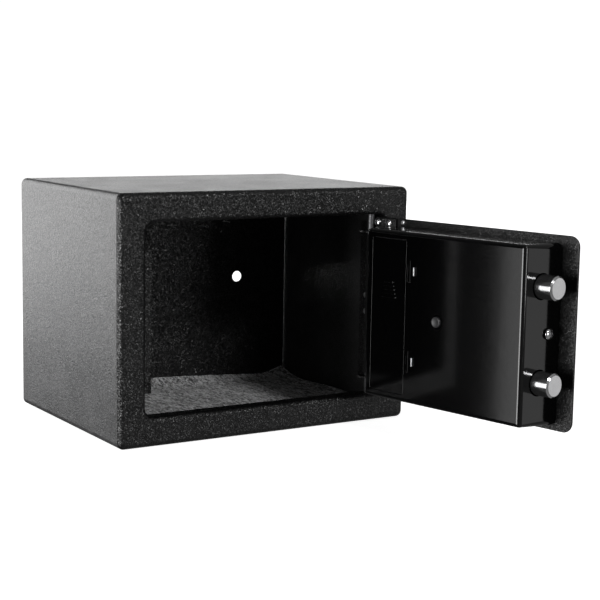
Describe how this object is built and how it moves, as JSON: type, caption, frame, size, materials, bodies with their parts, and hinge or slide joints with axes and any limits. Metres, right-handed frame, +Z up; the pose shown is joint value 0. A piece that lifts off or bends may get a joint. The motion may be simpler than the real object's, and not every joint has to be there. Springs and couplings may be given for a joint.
{
  "type": "electronic safe",
  "caption": "Small sheet-steel safe with a hinged door, twin round bolts driven by a knob, keypad lock behind a glossy cover, override key lock and felt mat.",
  "frame": {"origin": "centre of the case's bottom face", "axes": "+Z up, +X to the right along the front, +Y to the back; the closed door lies in the front plane"},
  "size_m": [0.2514, 0.345, 0.17],
  "materials": {
    "grey_paint": "satin powder coat",
    "black_texture": "fine hammered powder coat",
    "gloss_black": "glossy moulded",
    "black_plastic": "satin moulded",
    "chrome": "bright plated",
    "zinc_steel": "zinc plated",
    "brass": "turned",
    "grey_felt": "needled felt",
    "board_green": "solder mask",
    "key_plastic": "satin moulded",
    "cell_wrap": "printed foil",
    "red_plastic": "glossy moulded",
    "yellow_lens": "clear tinted lens",
    "green_lens": "clear tinted lens"
  },
  "bodies": {
    "case": {"case_shell": "grey_paint", "back_panel": "grey_paint", "front_frame": "black_texture", "bolt_guard": "black_texture", "hinge_lug_upper": "zinc_steel", "hinge_lug_lower": "zinc_steel", "jamb_rivet_lower": "zinc_steel", "jamb_rivet_upper": "zinc_steel", "floor_mat": "grey_felt"},
    "door": {"door_plate": "black_texture", "hinge_bracket_upper": "black_texture", "hinge_bracket_lower": "black_texture", "hinge_pin_upper": "zinc_steel", "hinge_pin_lower": "zinc_steel", "hinge_screw_upper_1": "chrome", "hinge_screw_upper_2": "chrome", "hinge_screw_lower_1": "chrome", "hinge_screw_lower_2": "chrome", "door_cover": "gloss_black", "cover_screw": "chrome", "battery_tray": "black_plastic", "aa_cell_1": "cell_wrap", "aa_cell_2": "cell_wrap", "aa_cell_3": "cell_wrap", "aa_cell_4": "cell_wrap", "circuit_board": "board_green", "reset_switch": "black_plastic", "keypad_ribbon": "key_plastic", "battery_lead": "red_plastic", "solenoid_lead": "black_plastic", "keypad_panel": "black_plastic", "lamp_red": "red_plastic", "lamp_yellow": "yellow_lens", "lamp_green": "green_lens", "lock_case": "zinc_steel", "solenoid": "zinc_steel", "knob_bezel": "chrome", "lock_cylinder": "chrome"},
    "bolt_work": {"bolt_carriage": "zinc_steel", "bolt_lower": "chrome", "bolt_upper": "chrome"},
    "knob": {"knob": "black_plastic", "knob_shaft": "zinc_steel"},
    "plunger": {"solenoid_plunger": "chrome"},
    "key_lock": {"key_plug": "brass", "key_cam": "zinc_steel"},
    "battery_lid": {"battery_cover": "gloss_black"},
    "reset": {"reset_button": "red_plastic"},
    "button_1": {"key_1": "key_plastic"},
    "button_2": {"key_2": "key_plastic"},
    "button_3": {"key_3": "key_plastic"},
    "button_4": {"key_4": "key_plastic"},
    "button_5": {"key_5": "key_plastic"},
    "button_6": {"key_6": "key_plastic"},
    "button_7": {"key_7": "key_plastic"},
    "button_8": {"key_8": "key_plastic"},
    "button_9": {"key_9": "key_plastic"},
    "button_star": {"key_star": "key_plastic"},
    "button_0": {"key_0": "key_plastic"},
    "button_hash": {"key_hash": "key_plastic"}
  },
  "joints": [
    {"name": "door_swing", "type": "hinge", "parent": "case", "child": "door", "pos_m": [0.0865, -0.079, 0.085], "axis": [0, 0, 1], "range_deg": [-101, 6]},
    {"name": "bolt_throw", "type": "slide", "parent": "door", "child": "bolt_work", "axis": [0.1908, -0.9816, 0], "range_m": [-0.012, 0.008]},
    {"name": "knob_turn", "type": "hinge", "parent": "door", "child": "knob", "pos_m": [0.12156, -0.19647, 0.086], "axis": [0.9816, 0.1908, 0], "range_deg": [-54.1, 36.1]},
    {"name": "plunger_lift", "type": "slide", "parent": "door", "child": "plunger", "axis": [0, 0, 1], "range_m": [0, 0.004]},
    {"name": "key_turn", "type": "hinge", "parent": "door", "child": "key_lock", "pos_m": [0.11515, -0.18447, 0.056], "axis": [0.9816, 0.1908, 0], "range_deg": [0, 90]},
    {"name": "battery_lid_lift", "type": "slide", "parent": "door", "child": "battery_lid", "axis": [-0.9816, -0.1908, 0], "range_m": [0, 0.025]},
    {"name": "reset_press", "type": "slide", "parent": "door", "child": "reset", "axis": [0.9816, 0.1908, 0], "range_m": [0, 0.001], "stiffness_N_per_m": 400, "springref_m": -0.001},
    {"name": "key_1_press", "type": "slide", "parent": "door", "child": "button_1", "axis": [-0.9816, -0.1908, 0], "range_m": [0, 0.001], "stiffness_N_per_m": 400, "springref_m": -0.001},
    {"name": "key_2_press", "type": "slide", "parent": "door", "child": "button_2", "axis": [-0.9816, -0.1908, 0], "range_m": [0, 0.001], "stiffness_N_per_m": 400, "springref_m": -0.001},
    {"name": "key_3_press", "type": "slide", "parent": "door", "child": "button_3", "axis": [-0.9816, -0.1908, 0], "range_m": [0, 0.001], "stiffness_N_per_m": 400, "springref_m": -0.001},
    {"name": "key_4_press", "type": "slide", "parent": "door", "child": "button_4", "axis": [-0.9816, -0.1908, 0], "range_m": [0, 0.001], "stiffness_N_per_m": 400, "springref_m": -0.001},
    {"name": "key_5_press", "type": "slide", "parent": "door", "child": "button_5", "axis": [-0.9816, -0.1908, 0], "range_m": [0, 0.001], "stiffness_N_per_m": 400, "springref_m": -0.001},
    {"name": "key_6_press", "type": "slide", "parent": "door", "child": "button_6", "axis": [-0.9816, -0.1908, 0], "range_m": [0, 0.001], "stiffness_N_per_m": 400, "springref_m": -0.001},
    {"name": "key_7_press", "type": "slide", "parent": "door", "child": "button_7", "axis": [-0.9816, -0.1908, 0], "range_m": [0, 0.001], "stiffness_N_per_m": 400, "springref_m": -0.001},
    {"name": "key_8_press", "type": "slide", "parent": "door", "child": "button_8", "axis": [-0.9816, -0.1908, 0], "range_m": [0, 0.001], "stiffness_N_per_m": 400, "springref_m": -0.001},
    {"name": "key_9_press", "type": "slide", "parent": "door", "child": "button_9", "axis": [-0.9816, -0.1908, 0], "range_m": [0, 0.001], "stiffness_N_per_m": 400, "springref_m": -0.001},
    {"name": "key_star_press", "type": "slide", "parent": "door", "child": "button_star", "axis": [-0.9816, -0.1908, 0], "range_m": [0, 0.001], "stiffness_N_per_m": 400, "springref_m": -0.001},
    {"name": "key_0_press", "type": "slide", "parent": "door", "child": "button_0", "axis": [-0.9816, -0.1908, 0], "range_m": [0, 0.001], "stiffness_N_per_m": 400, "springref_m": -0.001},
    {"name": "key_hash_press", "type": "slide", "parent": "door", "child": "button_hash", "axis": [-0.9816, -0.1908, 0], "range_m": [0, 0.001], "stiffness_N_per_m": 400, "springref_m": -0.001}
  ],
  "couplings": [
    {"joint": "knob_turn", "follows": "bolt_throw", "rad_per_m": 78.54}
  ]
}
